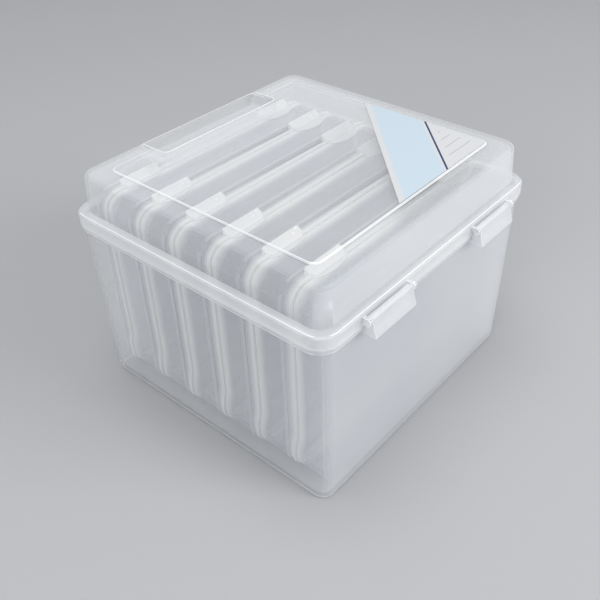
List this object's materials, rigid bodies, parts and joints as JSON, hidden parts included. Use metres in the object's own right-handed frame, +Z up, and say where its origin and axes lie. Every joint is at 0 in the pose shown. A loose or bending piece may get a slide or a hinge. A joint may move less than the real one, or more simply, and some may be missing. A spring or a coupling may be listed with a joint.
{
  "type": "hinged storage box with inner cases",
  "caption": "Clear plastic storage box with a domed hinged lid, swing latches and a row of upright clamshell cases inside.",
  "frame": {"origin": "middle of the tub's underside, on the surface that the box stands on", "axes": "+Z up; -Y is the front with the two latches, +Y the rear with the lid hinge; +X runs to the right seen from the front, along the cases' long side"},
  "size_m": [0.215, 0.2234, 0.1607],
  "materials": {
    "tub_plastic": "clear milky moulded polypropylene",
    "lid_plastic": "clear milky moulded polypropylene",
    "latch_plastic": "milky moulded polypropylene",
    "case_plastic": "clear milky moulded polypropylene",
    "label_card": "printed adhesive film, semi-matt"
  },
  "bodies": {
    "tub": {"tub": "tub_plastic"},
    "lid": {"lid": "lid_plastic", "label": "label_card"},
    "latch_left": {"latch_left": "latch_plastic"},
    "latch_right": {"latch_right": "latch_plastic"},
    "case_1": {"case_1_tray": "case_plastic", "case_1_cover": "case_plastic"},
    "case_2": {"case_2_tray": "case_plastic", "case_2_cover": "case_plastic"},
    "case_3": {"case_3_tray": "case_plastic", "case_3_cover": "case_plastic"},
    "case_4": {"case_4_tray": "case_plastic", "case_4_cover": "case_plastic"},
    "case_5": {"case_5_tray": "case_plastic", "case_5_cover": "case_plastic"},
    "case_6": {"case_6_tray": "case_plastic", "case_6_cover": "case_plastic"}
  },
  "joints": [
    {"name": "lid_hinge", "type": "hinge", "parent": "tub", "child": "lid", "pos_m": [0, 0.1082, 0.1262], "axis": [-1, 0, 0], "range_deg": [0, 105]},
    {"name": "latch_left_pivot", "type": "hinge", "parent": "lid", "child": "latch_left", "pos_m": [-0.0547, -0.1071, 0.129], "axis": [-1, 0, 0], "range_deg": [0, 110]},
    {"name": "latch_right_pivot", "type": "hinge", "parent": "lid", "child": "latch_right", "pos_m": [0.0547, -0.1071, 0.129], "axis": [-1, 0, 0], "range_deg": [0, 110]},
    {"name": "case_1_lift", "type": "slide", "parent": "tub", "child": "case_1", "axis": [0, 0, 1], "range_m": [0, 0.009]},
    {"name": "case_2_lift", "type": "slide", "parent": "tub", "child": "case_2", "axis": [0, 0, 1], "range_m": [0, 0.009]},
    {"name": "case_3_lift", "type": "slide", "parent": "tub", "child": "case_3", "axis": [0, 0, 1], "range_m": [0, 0.009]},
    {"name": "case_4_lift", "type": "slide", "parent": "tub", "child": "case_4", "axis": [0, 0, 1], "range_m": [0, 0.009]},
    {"name": "case_5_lift", "type": "slide", "parent": "tub", "child": "case_5", "axis": [0, 0, 1], "range_m": [0, 0.009]},
    {"name": "case_6_lift", "type": "slide", "parent": "tub", "child": "case_6", "axis": [0, 0, 1], "range_m": [0, 0.002]}
  ]
}
